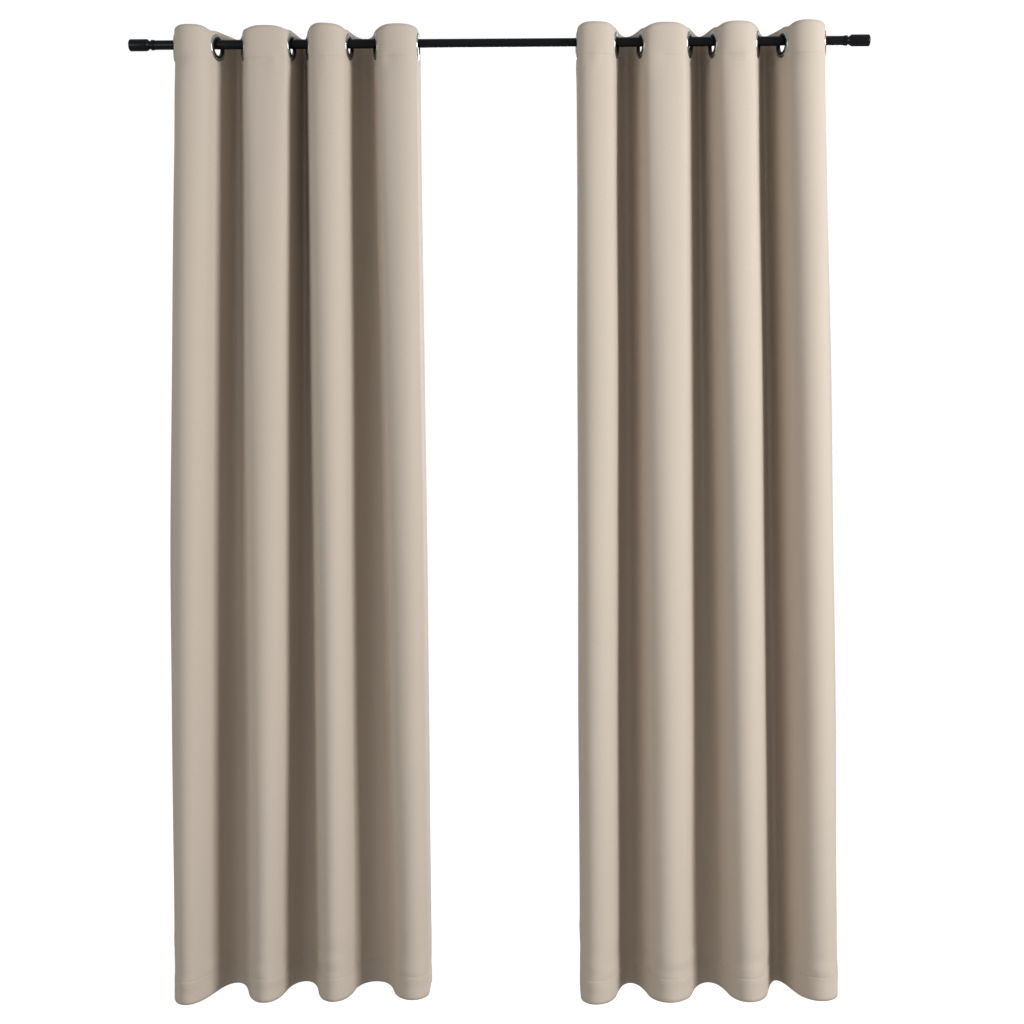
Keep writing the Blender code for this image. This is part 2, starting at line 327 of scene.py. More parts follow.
class Panel:
    """A panel's place in the frame, and where any point of its flat cloth hangs."""

    def __init__(self, name):
        self.name = name
        self.side = SIDES[name]
        self.folds = PANELS[name]
        collar_low, collar_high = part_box(f"{name}_collar")
        self.outer = min(abs(collar_low.x), abs(collar_high.x)) - self.folds["end_gap"]
        eyelet_low, eyelet_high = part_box(f"{name}_eyelet_1")
        self.eyelet_height = (eyelet_low.z + eyelet_high.z) / 2
        cloth_low, cloth_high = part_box(f"{name}_cloth_fold_1")
        self.top, self.hem = cloth_high.z, cloth_low.z
        self.stiff_end = self.top - HEADING_DEPTH
        self.seam = self.top - SEAM_DEPTH
        self.hem_seam = self.hem + HEM_DEPTH
        self.sections = {}

    def eyelet_places(self):
        """[(X, the way its face looks)] of each eyelet."""
        places = []
        for number, (across, turn) in enumerate(eyelet_lines(self.folds, 0)):
            outward = 1 if number % 2 == 0 else -1
            face = Vector((self.side * outward * math.cos(turn), -math.sin(turn), 0))
            places.append((self.side * (self.outer - across), face))
        return places

    def line_at(self, share):
        """The cloth's line at any height, between the nearest of a fixed number of levels."""
        level = share * LEVELS
        lower = min(int(level), LEVELS - 1)
        for number in (lower, lower + 1):
            if number not in self.sections:
                self.sections[number] = section(self.folds, number / LEVELS)
        (low_distances, low), (high_distances, high) = self.sections[lower], self.sections[lower + 1]
        part = level - lower
        return low_distances + (high_distances - low_distances) * part, low + (high - low) * part

    def hang(self, across, height):
        """World points and front normals of a row of the flat cloth. across and height are arrays."""
        share = float(np.clip((self.stiff_end - height.mean()) / (self.stiff_end - self.hem), 0, 1))
        distances, points = self.line_at(share)
        x = self.side * (self.outer - np.interp(across, distances, points[:, 0]))
        y = np.interp(across, distances, points[:, 1])
        slope_x = np.interp(across, distances, -self.side * np.gradient(points[:, 0], distances))
        slope_y = np.interp(across, distances, np.gradient(points[:, 1], distances))
        size = np.hypot(slope_x, slope_y)
        normal = -self.side * np.stack((slope_y / size, -slope_x / size, 0 * size), axis=-1)
        return np.stack((x, y, height), axis=-1), normal


# ---- the cloth's small shapes ----


def patches(rng, across, height, width, depth):
    """Smooth random heights from -1 to 1 over the flat cloth, in patches of that width and depth."""
    u, v = across / width, (height + PATCH_FLOOR) / depth
    lattice = rng.uniform(-1, 1, (int(PATCH_SPAN / depth) + 2, int(PANEL_WIDTH / width) + 3))
    column, row = u.astype(int), v.astype(int)
    right, up = smooth(u - column), smooth(v - row)
    low = lattice[row, column] * (1 - right) + lattice[row, column + 1] * right
    high = lattice[row + 1, column] * (1 - right) + lattice[row + 1, column + 1] * right
    return low * (1 - up) + high * up


def groove(distance, width):
    """1 on a line, falling softly to 0 at either side of it."""
    return np.exp(-((distance / width) ** 2))


def relief(panel, across, height, strength):
    """How far each point of the cloth stands forward of its fold's plain shape."""
    rng = np.random.default_rng(panel.folds["seed"])
    below = panel.seam - height
    near_seam = np.where(below > 0, np.exp(-below / PUCKERS_UNDER_SEAM), np.exp(below / PUCKERS_OVER_SEAM))
    near_seam = near_seam * (below > -SEAM_DEPTH)
    above_hem = height - panel.hem
    near_hem = np.exp(-np.abs(height - panel.hem_seam) / PUCKERS_BY_HEM)
    low = smooth(above_hem / LOW_FOLDS_START) * (1 - smooth((above_hem - LOW_FOLDS_END) / LOW_FOLDS_FADE))
    body = smooth(below / BODY_START)
    kinds = ((body, BODY_WAVES), (near_seam, SEAM_PUCKERS), (near_hem, HEM_PUCKERS), (low, LOW_FOLDS))
    out = np.zeros(across.shape)
    for share, wrinkles in kinds:
        for size, width, depth in wrinkles:
            out += share * size * patches(rng, across, height, width, depth)
    for at, level, width, depth, size in panel.folds["creases"]:
        distance = np.hypot((across - at) / width, (height - level) / depth)
        tilt = (height - level) / depth + CREASE_SLANT * (across - at) / width
        out += size * np.exp(-(distance**2)) * np.sin(CREASE_WAVE * tilt)
    out *= strength
    for off_line, (depth, width) in (
        (height - panel.seam, SEAM_LINE),
        (height - panel.seam + SECOND_SEAM, SECOND_SEAM_LINE),
        (height - panel.hem_seam, HEM_LINE),
        (across - SIDE_HEM, SIDE_LINE),
        (across - PANEL_WIDTH + SIDE_HEM, SIDE_LINE),
    ):
        out -= depth * groove(off_line, width)
    for number in range(EYELETS):
        at = SIDE_MARGIN + EYELET_PITCH * number
        distance = np.hypot(across - at, height - panel.eyelet_height)
        out *= smooth((distance - FLANGE_RADIUS) / FLAT_BY_FLANGE)
    return out


def dome(panel, across, height):
    """How far the heading rises at the middle of each front fold, and sags at its two corners."""
    turn = (across - SIDE_MARGIN) / EYELET_PITCH
    within = turn - np.floor(turn)
    in_front = (turn > 0) & (turn < EYELETS - 1) & (np.floor(turn) % 2 == 0)
    rise = DOME_RISE * np.sin(np.pi * within) ** 2
    for corner in (DOME_CORNER, 1 - DOME_CORNER):
        rise -= CORNER_SAG * groove(within - corner, CORNER_WIDTH)
    near_top = smooth((height - panel.eyelet_height) / (panel.top - panel.eyelet_height))
    return np.where(in_front, rise, 0) * near_top


def row_levels(panel):
    """Heights from the top edge to the hem, close together at the seams and wide apart between them."""
    seams = (panel.seam, panel.seam - SECOND_SEAM, panel.hem_seam)
    levels = [panel.top]
    while levels[-1] > panel.hem:
        nearest = min(abs(levels[-1] - seam) for seam in seams)
        levels.append(levels[-1] - min(COARSE_ROW_STEP, FINE_ROW_STEP + ROW_GROWTH * nearest))
    squeeze = (panel.top - panel.hem) / (levels[0] - levels[-1])
    return np.array([panel.top - (panel.top - level) * squeeze for level in levels])


def flat_cloth(panel):
    """The flat cloth as a grid, with its holes cut: distances, heights, and the faces that are kept."""
    steps = round(PANEL_WIDTH / COLUMN_STEP)
    across, height = np.meshgrid(np.linspace(0, PANEL_WIDTH, steps + 1), row_levels(panel))
    middle_across = (across[:-1, :-1] + across[1:, 1:]) / 2
    middle_height = (height[:-1, :-1] + height[1:, 1:]) / 2
    kept = np.ones(middle_across.shape, bool)
    for number in range(EYELETS):
        at = SIDE_MARGIN + EYELET_PITCH * number
        kept &= np.hypot(middle_across - at, middle_height - panel.eyelet_height) > CLOTH_HOLE_RADIUS
    padded = np.pad(kept, 1, constant_values=True)
    rows, columns = across.shape
    corners = np.stack([padded[a : a + rows, b : b + columns] for a in (0, 1) for b in (0, 1)])
    rim = corners.any(0) & ~corners.all(0)
    for number in range(EYELETS):
        at = SIDE_MARGIN + EYELET_PITCH * number
        off_across, off_height = across - at, height - panel.eyelet_height
        distance = np.hypot(off_across, off_height)
        mine = rim & (distance < 2 * CLOTH_HOLE_RADIUS)
        pull = CLOTH_HOLE_RADIUS / distance[mine]
        across[mine] = at + off_across[mine] * pull
        height[mine] = panel.eyelet_height + off_height[mine] * pull
    return across, height, kept


def cloth_points(panel, across, height, strength, lift=0.0):
    """World points of rows of the flat cloth, with its wrinkles. lift stands them off the cloth's middle."""
    out = relief(panel, across, height, strength) + lift
    places = np.empty((*across.shape, 3))
    for row in range(across.shape[0]):
        points, normal = panel.hang(across[row], height[row])
        places[row] = points + out[row][:, None] * normal
    share = np.clip((panel.stiff_end - height) / (panel.stiff_end - panel.hem), 0, 1)
    places[..., 2] -= panel.folds["hem_drop"] * share**4 * np.exp(-across / EYELET_PITCH)
    rng = np.random.default_rng(panel.folds["seed"] + 1)
    near_top = np.exp(-(panel.top - height) / EDGE_WAVE_FADE)
    size, width = EDGE_WAVE
    places[..., 2] += size * near_top * patches(rng, across, 0 * height, width, 1.0)
    places[..., 2] += dome(panel, across, height)
    return places


def add_piece(name, mesh, material):
    piece = bpy.data.objects.new(name, mesh)
    bpy.context.scene.collection.objects.link(piece)
    mesh.materials.append(material)
    return piece


def grid_mesh(name, panel, across, places, height, kept):
    """The sheet's mesh, its faces looking forward, with the flat cloth as its texture map."""
    rows, columns = across.shape
    numbers = np.arange(rows * columns).reshape(rows, columns)
    corners = (numbers[:-1, :-1], numbers[:-1, 1:], numbers[1:, 1:], numbers[1:, :-1])
    faces = np.stack([corner[kept] for corner in corners], axis=-1)
    if panel.side < 0:
        faces = faces[:, ::-1]
    used, compact = np.unique(faces, return_inverse=True)
    faces = compact.reshape(faces.shape)
    mesh = bpy.data.meshes.new(name)
    mesh.from_pydata(places.reshape(-1, 3)[used].tolist(), [], faces.tolist())
    flat = np.stack((across.ravel()[used], height.ravel()[used]), axis=-1)
    layer = mesh.uv_layers.new(name="flat_cloth")
    layer.data.foreach_set("uv", flat[faces.ravel()].astype(np.float32).ravel())
    mesh.shade_smooth()
    return mesh, used


def two_layers(panel, across, height):
    """1 where the cloth is turned over and sewn down as two layers, and 0 where it is one."""
    return np.maximum.reduce(
        (
            smooth((height - panel.seam) / SEAM_STEP + 0.5),
            smooth((panel.hem_seam - height) / SEAM_STEP),
            smooth((SIDE_HEM - across) / SIDE_STEP),
            smooth((across - PANEL_WIDTH + SIDE_HEM) / SIDE_STEP),
        )
    )


def make_sheet(panel, look, material):
    """The panel's cloth, closed and thin, twice as thick where it is turned over and sewn."""
    across, height, kept = flat_cloth(panel)
    places = cloth_points(panel, across, height, look.wrinkles)
    name = f"{panel.name}_curtain"
    mesh, used = grid_mesh(name, panel, across, places, height, kept)
    sheet = add_piece(name, mesh, material)
    group = sheet.vertex_groups.new(name="turned_over")
    for number, weight in enumerate(two_layers(panel, across, height).ravel()[used]):
        if weight > 0:
            group.add([number], float(weight), "REPLACE")
    solidify = sheet.modifiers.new("thickness", "SOLIDIFY")
    solidify.thickness = 2 * look.thickness
    solidify.offset = 0
    solidify.vertex_group = group.name
    solidify.thickness_vertex_group = 0.5
    return sheet


def ball_template(around, rings):
    """The points of a unit ball and its triangles."""
    bm = bmesh.new()
    bmesh.ops.create_uvsphere(bm, u_segments=around, v_segments=rings, radius=1)
    bmesh.ops.triangulate(bm, faces=bm.faces)
    points = np.array([vertex.co for vertex in bm.verts])
    faces = np.array([[vertex.index for vertex in face.verts] for face in bm.faces])
    bm.free()
    return points, faces


def stitch_row(panel, look, start, end):
    """The first and the last point of each stitch along a straight seam of the flat cloth."""
    length = math.dist(start, end)
    count = int(length / STITCH_PITCH)
    share = (np.arange(count) + 0.5) / count
    half = STITCH_LENGTH / 2 / length
    level = start[1] == end[1]
    shape = (1, -1) if level else (-1, 1)
    lift = look.thickness * STITCH_LIFT
    ends = []
    for offset in (-half, half):
        across = (start[0] + (end[0] - start[0]) * (share + offset)).reshape(shape)
        height = (start[1] + (end[1] - start[1]) * (share + offset)).reshape(shape)
        ends.append(cloth_points(panel, across, height, look.wrinkles, lift).reshape(-1, 3))
    return ends


def make_stitching(panel, look, material):
    """Every stitch that shows on the face of the cloth, as one piece of many small closed threads."""
    name = f"{panel.name}_stitching"
    outer, inner = STITCH_END, PANEL_WIDTH - STITCH_END
    outer_hem, inner_hem = SIDE_HEM, PANEL_WIDTH - SIDE_HEM
    high, low = panel.seam - SECOND_SEAM, panel.hem_seam + STITCH_CORNER
    seams = (
        ((outer, panel.seam), (inner, panel.seam)),
        ((outer, panel.hem_seam), (inner, panel.hem_seam)),
        ((outer_hem, high), (outer_hem, low)),
        ((inner_hem, high), (inner_hem, low)),
    )
    ball_points, ball_faces = ball_template(STITCH_AROUND, STITCH_RINGS)
    points, faces = [], []
    for start, end in seams:
        firsts, lasts = stitch_row(panel, look, start, end)
        for first, last in zip(firsts, lasts):
            line = Vector(last) - Vector(first)
            turn = line.to_track_quat("Z", "Y").to_matrix()
            stretch = Matrix.Diagonal((STITCH_RADIUS, STITCH_RADIUS, line.length / 2))
            faces.append(ball_faces + len(ball_points) * len(points))
            points.append(ball_points @ np.array(turn @ stretch).T + (first + last) / 2)
    mesh = bpy.data.meshes.new(name)
    mesh.from_pydata(np.concatenate(points).tolist(), [], np.concatenate(faces).tolist())
    mesh.shade_smooth()
    return add_piece(name, mesh, material)


# ---- turned metal ----


def turned(name, profile, steps, material):
    """A closed profile of (radius, height) turned round Z. It runs down its outer side."""
    bm = bmesh.new()
    points = [bm.verts.new((radius, 0, height)) for radius, height in profile]
    closed = profile[0][0] > 0
    for first, second in zip(points, points[1:] + points[:1] if closed else points[1:]):
        bm.edges.new((first, second))
    mesh = bpy.data.meshes.new(name)
    bm.to_mesh(mesh)
    bm.free()
    piece = add_piece(name, mesh, material)
    screw = piece.modifiers.new("turn", "SCREW")
    screw.steps = screw.render_steps = steps
    screw.use_merge_vertices = True
    screw.merge_threshold = 0.00001
    screw.use_smooth_shade = True
    return piece


def half_round(inner, outer, foot, top, steps=14):
    """The top of a rolled rim from its outer foot over to its inner foot, as a flattened half round."""
    middle, reach, rise = (inner + outer) / 2, (outer - inner) / 2, top - foot
    angles = [math.pi * n / steps for n in range(steps + 1)]
    return [(middle + reach * math.cos(a), foot + rise * math.sin(a) ** ROLL_FULLNESS) for a in angles]


def lip_profile():
    """The lip that rolls out of the throat, painted near-black as a reflection of the dark rod, and the
    throat itself, which goes through the cloth.
    """
    return half_round(HOLE_RADIUS, LIP_RADIUS, SEAT + LIP_FOOT, CROWN) + [
        (HOLE_RADIUS, -THROAT_FOOT),
        (THROAT_RADIUS, -THROAT_FOOT),
        (THROAT_RADIUS, SEAT),
        (LIP_RADIUS - LIP_TUCK, SEAT),
    ]


def flange_profile():
    """The pale flange outside the lip: a low dome that comes down to a thin rim on the cloth."""
    inner, outer = LIP_RADIUS - FLANGE_LAP, FLANGE_RADIUS - FLANGE_ROUND
    rise = CROWN - FLANGE_DROP - SEAT - FLANGE_RIM
    low_dome = []
    for n in range(FLANGE_POINTS + 1):
        t = n / FLANGE_POINTS
        height = SEAT + FLANGE_RIM + rise * math.cos(t * math.pi / 2) ** FLANGE_FULLNESS
        low_dome.append((inner + (outer - inner) * t, height))
    rim = arc((outer, SEAT + FLANGE_ROUND), FLANGE_ROUND, 60, -90, 4)
    return low_dome + rim + [(inner, SEAT)]


def washer_profile():
    """The ring behind the cloth that the throat is rolled over, below the cloth's middle."""
    inside = THROAT_RADIUS + GAP
    ring = half_round(inside, FLANGE_RADIUS, SEAT + WASHER_FOOT, WASHER_CROWN)
    return [(inside, -SEAT), (FLANGE_RADIUS, -SEAT)] + [(radius, -height) for radius, height in ring]


def facing(face):
    """A turn that brings a piece's own Z to a level direction."""
    up = Vector((0, 0, 1))
    return Matrix((up.cross(face), up, face)).transposed().to_4x4()


def along_x(x, side):
    """A turned piece's own Z laid along X, pointing out from the rod's centre."""
    return Matrix.Translation((x, 0, 0)) @ Matrix.Rotation(side * math.pi / 2, 4, "Y")


def tube_profile(outside, start, end):
    """A tube between two heights, with its outer edges rounded off."""
    inside, round_off = outside - TUBE_WALL, TUBE_EDGE_ROUND
    far = arc((outside - round_off, end - round_off), round_off, 90, 0, 4)
    near = arc((outside - round_off, start + round_off), round_off, 0, -90, 4)
    return far + near + [(inside, start), (inside, end)]


def finial_profile(barrel):
    """Height 0 is the end of the tube. The barrel's end is a low crown with a soft round at its rim."""
    foot = NECK_LENGTH + SHOULDER_LENGTH
    tip = foot + BARREL_LENGTH
    face = barrel - BARREL_ROUND
    crown = [(face * n / TIP_POINTS, tip - TIP_CROWN * (n / TIP_POINTS) ** 2) for n in range(TIP_POINTS)]
    rim = arc((face, tip - TIP_CROWN - BARREL_ROUND), BARREL_ROUND, 90, 0, 8)
    shoulder = arc((barrel - SHOULDER_ROUND, foot + SHOULDER_ROUND), SHOULDER_ROUND, 0, -50, 4)
    waist = arc((NECK_RADIUS + SHOULDER_ROUND, NECK_LENGTH + WAIST_RISE), SHOULDER_ROUND, 130, 180, 4)
    spigot = [(SPIGOT_RADIUS, GAP), (SPIGOT_RADIUS, -SPIGOT_LENGTH), (0, -SPIGOT_LENGTH)]
    return crown + rim + shoulder + waist + [(NECK_RADIUS, GAP)] + spigot


def collar_profile(inside, outside, length):
    """A ring whose outer face is at height 0, with its outer edges rounded off."""
    top = arc((outside - COLLAR_ROUND, -COLLAR_ROUND), COLLAR_ROUND, 90, 0, 4)
    bottom = arc((outside - COLLAR_ROUND, COLLAR_ROUND - length), COLLAR_ROUND, 0, -90, 4)
    return [(inside, 0)] + top + bottom + [(inside, -length)]


# ---- materials ----


class Nodes:
    """Shorthand for building a tree of shader nodes."""

    def __init__(self, tree):
        self.tree = tree

    def add(self, kind, **settings):
        node = self.tree.nodes.new(kind)
        for name, value in settings.items():
            setattr(node, name, value)
        return node

    def feed(self, source, target):
        self.tree.links.new(source, target)

    def math(self, operation, first, second=None, clamp=False):
        node = self.add("ShaderNodeMath", operation=operation, use_clamp=clamp)
        for socket, value in zip(node.inputs, (first, second)):
            if isinstance(value, bpy.types.NodeSocket):
                self.feed(value, socket)
            elif value is not None:
                socket.default_value = value
        return node.outputs["Value"]

    def stretched(self, vector, scale):
        node = self.add("ShaderNodeVectorMath", operation="MULTIPLY")
        self.feed(vector, node.inputs[0])
        node.inputs[1].default_value = scale
        return node.outputs["Vector"]

    def noise(self, vector, scale, detail=2.0, roughness=0.5):
        node = self.add("ShaderNodeTexNoise")
        self.feed(vector, node.inputs["Vector"])
        node.inputs["Scale"].default_value = scale
        node.inputs["Detail"].default_value = detail
        node.inputs["Roughness"].default_value = roughness
        return node.outputs["Fac"]

    def streaks(self, flat, size, detail):
        """Noise in patches of that width and length on the flat cloth."""
        width, length = size
        return self.noise(self.stretched(flat, (1 / width, 1 / length, 1)), 1.0, detail)

    def remap(self, value, low, high, to_low, to_high):
        node = self.add("ShaderNodeMapRange")
        self.feed(value, node.inputs["Value"])
        for name, number in (("From Min", low), ("From Max", high), ("To Min", to_low), ("To Max", to_high)):
            node.inputs[name].default_value = number
        return node.outputs["Result"]

    def blend(self, factor, first, second):
        node = self.add("ShaderNodeMix", data_type="RGBA")
        self.feed(factor, node.inputs["Factor"])
        for name, value in (("A", first), ("B", second)):
            socket = next(s for s in node.inputs if s.name == name and s.type == "RGBA")
            if isinstance(value, bpy.types.NodeSocket):
                self.feed(value, socket)
            else:
                socket.default_value = value
        return next(s for s in node.outputs if s.type == "RGBA")


def new_group(name, inputs, outputs):
    """An empty node group with (name, socket type, default) inputs and (name, socket type) outputs."""
    tree = bpy.data.node_groups.new(name, "ShaderNodeTree")
    for label, kind, default in inputs:
        socket = tree.interface.new_socket(name=label, in_out="INPUT", socket_type=kind)
        if default is not None:
            socket.default_value = default
    for label, kind in outputs:
        tree.interface.new_socket(name=label, in_out="OUTPUT", socket_type=kind)
    nodes = Nodes(tree)
    return nodes, nodes.add("NodeGroupInput"), nodes.add("NodeGroupOutput")


def weave_group():
    """Close-set threads both ways across the flat cloth, uneven as spun yarn is, with painted shade in the
    low places between them.
    """
    found = bpy.data.node_groups.get("woven_cloth")
    if found:
        return found
    nodes, entry, exit_ = new_group(
        "woven_cloth",
        [
            ("Vector", "NodeSocketVector", None),
            ("Light Yarn", "NodeSocketColor", (0.6, 0.55, 0.5, 1)),
            ("Shaded Yarn", "NodeSocketColor", (0.5, 0.45, 0.4, 1)),
            ("Unevenness", "NodeSocketFloat", 0.5),
        ],
        [("Color", "NodeSocketColor"), ("Height", "NodeSocketFloat"), ("Dullness", "NodeSocketFloat")],
    )
    flat = entry.outputs["Vector"]
    warp = nodes.streaks(flat, WARP_STREAK, 1.0)
    weft = nodes.streaks(flat, WEFT_STREAK, 1.0)
    threads = nodes.math("ADD", nodes.math("MULTIPLY", warp, 0.55), nodes.math("MULTIPLY", weft, 0.45))
    slub = nodes.streaks(flat, SLUB_STREAK, 3.0)
    cloud = nodes.streaks(flat, CLOUD_PATCH, 3.0)
    uneven = nodes.math("ADD", nodes.math("MULTIPLY", slub, 0.6), nodes.math("MULTIPLY", cloud, 0.4))
    spread = nodes.math("SUBTRACT", uneven, 0.5)
    spread = nodes.math("MULTIPLY", spread, entry.outputs["Unevenness"])
    # painted shade: where the threads are low the colour goes to the yarn in painted shade, and the slub and
    # cloud add random tone
    shade = nodes.remap(threads, 0.34, 0.66, 1.0, 0.0)
    factor = nodes.math("ADD", shade, spread, clamp=True)
    colour = nodes.blend(factor, entry.outputs["Light Yarn"], entry.outputs["Shaded Yarn"])
    nodes.feed(colour, exit_.inputs["Color"])
    nodes.feed(threads, exit_.inputs["Height"])
    nodes.feed(nodes.remap(threads, 0.3, 0.7, 0.92, 0.78), exit_.inputs["Dullness"])
    return nodes.tree


def wear_group():
    """The faint rubs and cloudiness of handled metal: a roughness and a height that change over it."""
    found = bpy.data.node_groups.get("handled_metal")
    if found:
        return found
    nodes, entry, exit_ = new_group(
        "handled_metal",
        [
            ("Vector", "NodeSocketVector", None),
            ("Least Roughness", "NodeSocketFloat", 0.2),
            ("Most Roughness", "NodeSocketFloat", 0.35),
        ],
        [("Roughness", "NodeSocketFloat"), ("Height", "NodeSocketFloat"), ("Mask", "NodeSocketFloat")],
    )
    place = entry.outputs["Vector"]
    cloud = nodes.noise(place, 90.0, 4.0, 0.6)
    rubs = nodes.noise(nodes.stretched(place, (60, 2600, 2600)), 1.0, 2.0)
    cloud, rubs = nodes.math("MULTIPLY", cloud, 0.6), nodes.math("MULTIPLY", rubs, 0.4)
    mask = nodes.math("ADD", cloud, rubs, clamp=True)
    spread = nodes.math("SUBTRACT", entry.outputs["Most Roughness"], entry.outputs["Least Roughness"])
    rough = nodes.math("ADD", nodes.math("MULTIPLY", mask, spread), entry.outputs["Least Roughness"])
    nodes.feed(rough, exit_.inputs["Roughness"])
    nodes.feed(nodes.noise(place, 1400.0, 2.0), exit_.inputs["Height"])
    nodes.feed(mask, exit_.inputs["Mask"])
    return nodes.tree


def new_material(name):
    found = bpy.data.materials.get(name)
    if found:
        bpy.data.materials.remove(found)
    material = bpy.data.materials.new(name)
    material.use_nodes = True
    nodes = Nodes(material.node_tree)
    return material, nodes, material.node_tree.nodes["Principled BSDF"]


def bump(nodes, height, shader, distance, strength):
    node = nodes.add("ShaderNodeBump")
    node.inputs["Distance"].default_value = distance
    node.inputs["Strength"].default_value = strength
    nodes.feed(height, node.inputs["Height"])
    nodes.feed(node.outputs["Normal"], shader.inputs["Normal"])


def cloth_material(look):
    """Matt, closely woven cloth with a slight sheen where it turns away."""
    material, nodes, shader = new_material("beige_curtain_cloth")
    flat = nodes.add("ShaderNodeUVMap", uv_map="flat_cloth")
    weave = nodes.add("ShaderNodeGroup", node_tree=weave_group())
    nodes.feed(flat.outputs["UV"], weave.inputs["Vector"])
    weave.inputs["Light Yarn"].default_value = (*look.colour, 1)
    weave.inputs["Shaded Yarn"].default_value = (*look.painted_shade_colour, 1)
    weave.inputs["Unevenness"].default_value = 0.55
    nodes.feed(weave.outputs["Color"], shader.inputs["Base Color"])
    nodes.feed(weave.outputs["Dullness"], shader.inputs["Roughness"])
    shader.inputs["Specular IOR Level"].default_value = 0.22
    shader.inputs["Sheen Weight"].default_value = 0.12
    shader.inputs["Sheen Roughness"].default_value = 0.45
    shader.inputs["Sheen Tint"].default_value = (0.95, 0.88, 0.80, 1)
    bump(nodes, weave.outputs["Height"], shader, 0.0002, 0.55)
    return material


def thread_material(look):
    """Sewing thread, a shade darker than the cloth."""
    material, nodes, shader = new_material("beige_sewing_thread")
    place = nodes.add("ShaderNodeTexCoord").outputs["Object"]
    twist = nodes.noise(place, 2500.0, 1.0)
    dark = tuple(0.72 * part for part in look.painted_shade_colour)
    nodes.feed(nodes.blend(twist, (*dark, 1), (*look.painted_shade_colour, 1)), shader.inputs["Base Color"])
    nodes.feed(nodes.remap(twist, 0.3, 0.7, 0.55, 0.8), shader.inputs["Roughness"])
    bump(nodes, twist, shader, 0.0001, 0.4)
    return material


def metal_material(name, colour, rubbed_colour, metallic, roughness, specular, relief_size):
    """Handled metal or enamel. roughness is its least and its most."""
    material, nodes, shader = new_material(name)
    place = nodes.add("ShaderNodeTexCoord").outputs["Object"]
    wear = nodes.add("ShaderNodeGroup", node_tree=wear_group())
    nodes.feed(place, wear.inputs["Vector"])
    wear.inputs["Least Roughness"].default_value = roughness[0]
    wear.inputs["Most Roughness"].default_value = roughness[1]
    colours = nodes.blend(wear.outputs["Mask"], (*colour, 1), (*rubbed_colour, 1))
    nodes.feed(colours, shader.inputs["Base Color"])
    nodes.feed(wear.outputs["Roughness"], shader.inputs["Roughness"])
    shader.inputs["Metallic"].default_value = metallic
    shader.inputs["Specular IOR Level"].default_value = specular
    bump(nodes, wear.outputs["Height"], shader, relief_size, 0.25)
    return material


# ---- the add-on ----


class CurtainClothLook(bpy.types.PropertyGroup):
    colour: FloatVectorProperty(
        name="Colour",
        description="The light yarn of the cloth",
        subtype="COLOR",
        size=3,
        min=0,
        max=1,
        default=(0.545, 0.455, 0.374),
    )
    # painted shade between the threads of the weave
    painted_shade_colour: FloatVectorProperty(
        name="Shaded Colour",
        description="The yarn in the shade between the threads",
        subtype="COLOR",
        size=3,
        min=0,
        max=1,
        default=(0.480, 0.396, 0.316),
    )
    thickness: FloatProperty(
        name="Thickness",
        description="One layer of the cloth. Hems and headings are two",
        unit="LENGTH",
        default=0.0007,
        min=0.0002,
        max=0.003,
    )
    wrinkles: FloatProperty(
        name="Wrinkles",
        description="How strongly the cloth puckers at its seams and waves down its folds",
        default=1.0,
        min=0,
        max=3,
    )


class CurtainMetalLook(bpy.types.PropertyGroup):
    eyelet_colour: FloatVectorProperty(
        name="Eyelet Colour",
        description="The pale polished flange of the eyelets",
        subtype="COLOR",
        size=3,
        min=0,
        max=1,
        default=(0.46, 0.49, 0.46),
    )
    rod_colour: FloatVectorProperty(
        name="Rod Colour",
        description="The black enamel of the rod and its finials",
        subtype="COLOR",
        size=3,
        min=0,
        max=1,
        default=(0.003, 0.003, 0.0035),
    )
    steps: IntProperty(
        name="Round Steps",
        description="How many faces a turned piece has round it",
        default=TUBE_STEPS,
        min=24,
        max=256,
    )


class CurtainStageLook(bpy.types.PropertyGroup):
    floor_gap: FloatProperty(
        name="Floor Gap",
        description="From the lowest hem down to the floor",
        unit="LENGTH",
        default=0.03,
        min=0.0,
        max=1.0,
    )
    key_power: FloatProperty(
        name="Key Light",
        description="The large soft light at the right, in front",
        subtype="POWER",
        default=250.0,
        min=0,
        max=2000,
    )
    fill_power: FloatProperty(
        name="Fill Light",
        description="The large weak light at the left, in front",
        subtype="POWER",
        default=56.0,
        min=0,
        max=2000,
    )
    back_power: FloatProperty(
        name="Back Light",
        description="The large soft light behind the curtains",
        subtype="POWER",
        default=150.0,
        min=0,
        max=2000,
    )


class CURTAINS_OT_cloth(bpy.types.Operator):
    """Make both panels as single sheets of cloth, pleated and sewn"""

    bl_idname = "curtains.cloth"
    bl_label = "Make Cloth"

    def execute(self, context):
        look = context.scene.curtain_cloth
        cloth, thread = cloth_material(look), thread_material(look)
        for name in SIDES:
            panel = Panel(name)
            sheet = make_sheet(panel, look, cloth)
            stitching = make_stitching(panel, look, thread)
            places = panel.eyelet_places()
            for piece in (sheet, stitching):
                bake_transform(piece)
            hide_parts(*(f"{name}_cloth_fold_{n + 1}" for n in range(EYELETS)))
        return {"FINISHED"}


